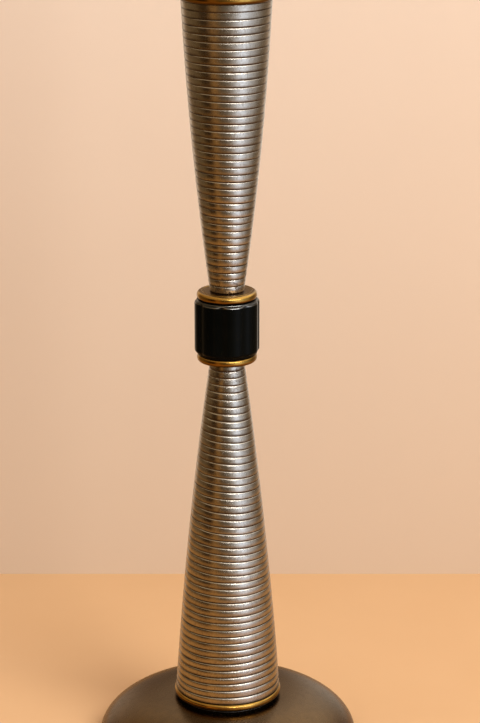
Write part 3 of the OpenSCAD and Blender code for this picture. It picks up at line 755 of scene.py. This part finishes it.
low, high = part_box("cord_gland")
bush_height = (low.z + high.z) / 2
bpy.ops.object.select_all(action="DESELECT")
bpy.ops.mesh.primitive_cylinder_add(vertices=48, radius=6 * MM, depth=0.05,
                                    location=(0, outer + 5 * MM, bush_height),
                                    rotation=(math.radians(90), 0, 0))
cutter = bpy.context.object
hole = base.modifiers.new("lead hole", "BOOLEAN")
hole.object = cutter
bpy.context.view_layer.objects.active = base
bpy.ops.object.modifier_apply(modifier=hole.name)
bpy.data.objects.remove(cutter)
print("base:", len(base.data.polygons), "faces")

# %% [markdown]
# ## The bush for the lead
# A rubber bush lines the hole at the back, so that the lead's covering isn't cut by the sheet. It is a
# turned part lying on its side. It is turned upright like the rest, then laid over with its mesh, so
# that the object itself stays at the origin.

# %% Turn the bush and lay it over
def lay(piece, angle, place):
    """Turns a mesh about the left-right axis by an angle in degrees, then moves it to its place."""
    bpy.ops.object.select_all(action="DESELECT")
    piece.select_set(True)
    bpy.context.view_layer.objects.active = piece
    piece.rotation_euler = (math.radians(angle), 0, 0)
    piece.location = place
    bpy.ops.object.transform_apply(location=True, rotation=True, scale=True)


length = high.y - low.y
bore, neck, flange = 3.6 * MM, 5.7 * MM, 6.4 * MM
face = length - 2.5 * MM
outline = ([(bore, 0.6 * MM), (bore + 0.5 * MM, 0), (neck - 0.6 * MM, 0), (neck, 1.2 * MM)]
           + [(neck - (0.35 * MM if i % 2 else 0), 3 * MM + i * 1.4 * MM) for i in range(9)]
           + [(neck, face - 0.4 * MM), (flange - 0.3 * MM, face), (flange, face + 0.4 * MM)]
           + arc(flange - 1.1 * MM, length - 1.1 * MM, 1.1 * MM, 0, 90, 6)
           + [(bore + 0.7 * MM, length), (bore, length - 0.7 * MM)])
bush = turn("lead_bush", closed(outline), 64, 40)
lay(bush, -90, (0, low.y, bush_height))
hand_over(bush, gland_rubber, "lamp", "cord_gland")
print("bush from", round(low.y / MM), "to", round(high.y / MM), "mm")

# %% [markdown]
# ## The switch
# Above the top ring a short brass barrel holds the switch. It has a bead at each end, where the turner
# left the full diameter, and a slim collar where the key's shaft comes out. The key is the part a hand
# knows best: two round wings with hollowed faces and soft edges. A wing starts as a short cylinder, its
# faces are inset and pushed in, and its rim is bevelled. The second wing is a copy.

# %% Turn the barrel and its collar
low, high = heights("switch_housing")
outer = reach("switch_housing")
bead = 1.6 * MM
side = outer - 0.9 * MM
outline = ([(HOLE, low), (outer - bead, low)] + arc(outer - bead, low + bead, bead, -80, 80, 7)
           + [(side, low + 2 * bead + 0.2 * MM), (side, low + 12 * MM), (side, high - 12 * MM),
              (side, high - 2 * bead - 0.2 * MM)]
           + arc(outer - bead, high - bead, bead, -80, 80, 7) + [(outer - bead, high), (HOLE, high)])
barrel = turn("switch_barrel", closed(outline), 128, 35)
hand_over(barrel, aged_brass, "lamp", "switch_housing")

shaft_low, shaft_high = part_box("switch_shaft")
key_height = (shaft_low.z + shaft_high.z) / 2
collar = turn("shaft_collar", closed(
    [(3.15 * MM, 0), (7 * MM, 0), (7 * MM, 0.9 * MM)] + arc(6.1 * MM, 1.1 * MM, 0.8 * MM, 0, 90, 5)
    + [(4.2 * MM, 1.9 * MM), (3.15 * MM, 1.5 * MM)]), 64, 40)
lay(collar, 90, (0, -side + 0.9 * MM, key_height))
hand_over(collar, aged_brass, "lamp")
print("switch barrel", round((high - low) / MM), "mm tall")

# %% Model the key
key_low, key_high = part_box("switch_key")
hub_start = key_high.y
wing_radius, wing_thick, wing_side = 7 * MM, 4 * MM, 4 * MM
wing_place = key_low.y + wing_radius


def wing(name, side):
    bpy.ops.object.select_all(action="DESELECT")
    bpy.ops.mesh.primitive_cylinder_add(vertices=64, radius=wing_radius, depth=wing_thick,
                                        location=(side * wing_side, wing_place, key_height))
    made = bpy.context.object
    made.name = made.data.name = name
    bpy.ops.object.transform_apply(location=True, rotation=True, scale=True)
    bpy.ops.object.mode_set(mode="EDIT")
    bpy.ops.mesh.select_mode(type="FACE")
    bpy.ops.mesh.select_all(action="DESELECT")
    bpy.ops.object.mode_set(mode="OBJECT")
    for surface in made.data.polygons:
        surface.select = abs(surface.normal.z) > 0.9
    bpy.ops.object.mode_set(mode="EDIT")
    bpy.ops.mesh.inset(thickness=1.7 * MM)
    bpy.ops.mesh.inset(thickness=0.5 * MM, depth=-0.45 * MM)
    bpy.ops.mesh.inset(thickness=2.4 * MM, depth=-0.3 * MM)
    bpy.ops.object.mode_set(mode="OBJECT")
    soft = made.modifiers.new("soft rim", "BEVEL")
    soft.width, soft.segments, soft.limit_method = 0.8 * MM, 4, "ANGLE"
    soft.angle_limit = math.radians(50)
    bpy.ops.object.modifier_apply(modifier=soft.name)
    return made


hub = turn("switch_key_grip", closed(
    [(3 * MM, 0.3 * MM), (3.6 * MM, 0), (4.4 * MM, 0)] + arc(4.3 * MM, 0.7 * MM, 0.7 * MM, -80, 60, 5)
    + [(4.2 * MM, 2.2 * MM), (3.9 * MM, 4 * MM), (4.1 * MM, 6 * MM), (4.6 * MM, 8 * MM)]
    + arc(3.6 * MM, 9.6 * MM, 1.4 * MM, 0, 90, 6) + [(0, 11 * MM), (0, 9.4 * MM), (3 * MM, 9.4 * MM)]),
    64, 40)
lay(hub, 90, (0, hub_start, key_height))
right_wing, left_wing = wing("right_wing", 1), wing("left_wing", -1)
bpy.ops.object.select_all(action="DESELECT")
for part in (hub, right_wing, left_wing):
    part.select_set(True)
bpy.context.view_layer.objects.active = hub
bpy.ops.object.join()
bpy.ops.object.shade_smooth_by_angle(angle=math.radians(38))
hand_over(hub, aged_brass, "key", "switch_key")
print("key:", len(hub.data.polygons), "faces")

# %% [markdown]
# ## The gallery and the bowl
# The gallery is the turned dish that carries the bowl. It flares from the barrel's width to a flat
# seat, with a rounded lip, and a short spigot above it keeps the bowl in the middle. The bowl is spun
# from thin sheet, with a brass bead over its raw edge and a white liner that throws the light up. Each
# one has its inner and outer side in a single outline, so it has a real thickness and a real edge.

# %% Turn the gallery
low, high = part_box("gallery")
outer = reach("gallery")
base_z, stem = low.z, reach("switch_housing")
seat = heights("seat_washer")[0]
flare = [(outer - (outer - stem) * math.cos(a), base_z + 22 * MM * (2 * a / math.pi) ** 2)
         for a in (math.radians(9 + 3 * i) for i in range(26))]
spigot = 35.6 * MM
outline = ([(HOLE, base_z), (stem - 0.3 * MM, base_z), (stem, base_z + 0.3 * MM),
            (stem, base_z + 0.5 * MM)] + flare
           + arc(outer - 1.3 * MM, seat - 1.3 * MM, 1.3 * MM, -20, 90, 7)
           + [(outer - 4 * MM, seat), (spigot + 0.3 * MM, seat), (spigot, seat + 0.3 * MM),
              (spigot, high.z - 0.5 * MM), (spigot - 0.5 * MM, high.z), (spigot - 2.5 * MM, high.z),
              (spigot - 3 * MM, high.z - 0.4 * MM), (21 * MM, base_z + 6 * MM), (HOLE, base_z + 6 * MM)])
gallery = turn("turned_gallery", closed(outline), 160, 30)
hand_over(gallery, aged_brass, "lamp", "gallery")
print("gallery seat at", round(seat / MM, 1), "mm")

# %% Spin the bowl, its liner and its bead
foot, top = heights("bowl")
rim_radius, flat, sweep = 190 * MM, 58 * MM, math.radians(66)
bead_low, bead_high = heights("bowl_rim")
bead_size = (bead_high - bead_low) / 2
bead_centre = bead_low + bead_size
depth = bead_centre - foot


def bowl_side(inset, share=1.0, count=44):
    angles = [sweep * share * i / count for i in range(count + 1)]
    return [(flat + (rim_radius - inset - flat) * math.sin(a) / math.sin(sweep),
             foot + inset + (depth - inset) * (1 - math.cos(a)) / (1 - math.cos(sweep))) for a in angles]


sheet = 1.5 * MM
bowl = turn("spun_bowl", closed([(36 * MM, foot)] + bowl_side(0) + bowl_side(sheet)[::-1]
                                + [(36 * MM, foot + sheet)]), 192, 40)
hand_over(bowl, dark_bronze, "bowl", "bowl")
liner = turn("white_liner", closed([(38 * MM, foot + 1.8 * MM)] + bowl_side(1.8 * MM, 0.975)
                                   + bowl_side(2.8 * MM, 0.975)[::-1]
                                   + [(38 * MM, foot + 2.8 * MM)]), 192, 40)
hand_over(liner, white_enamel, "bowl", "reflector")
bead = turn("bowl_bead", arc(rim_radius - sheet / 2, bead_centre, bead_size * 0.995, 0, 360, 28), 192, 60)
hand_over(bead, aged_brass, "bowl", "bowl_rim")
print("bowl", round(2 * rim_radius / MM), "mm wide,", round((top - foot) / MM), "mm deep")

# %% [markdown]
# ## The lamp holder and the bulb
# Inside the bowl stands a brass sleeve with a screwed cap for the bulb. The cap's thread is a row of
# small ridges here, which is how a fine thread looks from any distance. The bulb is opal glass with a
# neck that blends into a ball.

# %% Turn the sleeve, the cap and the bulb
low, high = heights("socket_sleeve")
outer = reach("socket_sleeve")
bands = []
for i in range(6):
    start = low + 6 * MM + i * 2.2 * MM
    bands += [(outer, start), (outer - 0.35 * MM, start + 0.5 * MM), (outer - 0.35 * MM, start + 1.1 * MM),
              (outer, start + 1.6 * MM)]
outline = ([(outer - 1 * MM, low), (outer - 0.3 * MM, low), (outer, low + 0.3 * MM)] + bands
           + [(outer - 0.2 * MM, high - 6 * MM), (outer - 0.2 * MM, high - 2.4 * MM)]
           + arc(outer - 0.6 * MM, high - 1.2 * MM, 0.6 * MM, -60, 90, 6)
           + [(outer - 1 * MM, high - 0.6 * MM)])
sleeve = turn("holder_sleeve", closed(outline), 112, 35)
hand_over(sleeve, aged_brass, "lamp", "socket_sleeve")

low, high = heights("bulb_cap")
outer = reach("bulb_cap")
thread = [(outer - (0.55 * MM if i % 2 else 0.05 * MM), low + 3 * MM + i * 1.55 * MM) for i in range(12)]
outline = ([(0, low), (4 * MM, low), (outer - 2.5 * MM, low + 0.8 * MM), (outer - 0.6 * MM, low + 2 * MM)]
           + thread + [(outer, high - 3 * MM), (outer, high - 0.6 * MM), (outer - 0.5 * MM, high), (0, high)])
cap = turn("bulb_cap_threaded", outline, 96, 50)
hand_over(cap, cap_metal, "lamp", "bulb_cap")

ball_high = heights("bulb_glass")[1]
ball = reach("bulb_glass")
centre = ball_high - ball
neck = outer - 0.4 * MM
join = math.radians(-25)
neck_top = high + 4 * MM
shoulder = [(neck + (ball * math.cos(join) - neck) * t * t * (3 - 2 * t),
             neck_top + (centre + ball * math.sin(join) - neck_top) * t)
            for t in (i / 14 for i in range(14))]
outline = ([(0, high), (neck, high)] + shoulder + arc(0, centre, ball, -25, 90, 26)[:-1]
           + [(0, ball_high)])
bulb = turn("opal_bulb", outline, 128, 60)
hand_over(bulb, opal_glass, "lamp", "bulb_glass")
print("bulb", round(2 * ball / MM), "mm across")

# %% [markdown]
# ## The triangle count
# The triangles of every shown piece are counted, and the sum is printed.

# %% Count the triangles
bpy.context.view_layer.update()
total = 0
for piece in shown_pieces():
    piece.data.calc_loop_triangles()
    total += len(piece.data.loop_triangles)
print("triangles in all:", total)
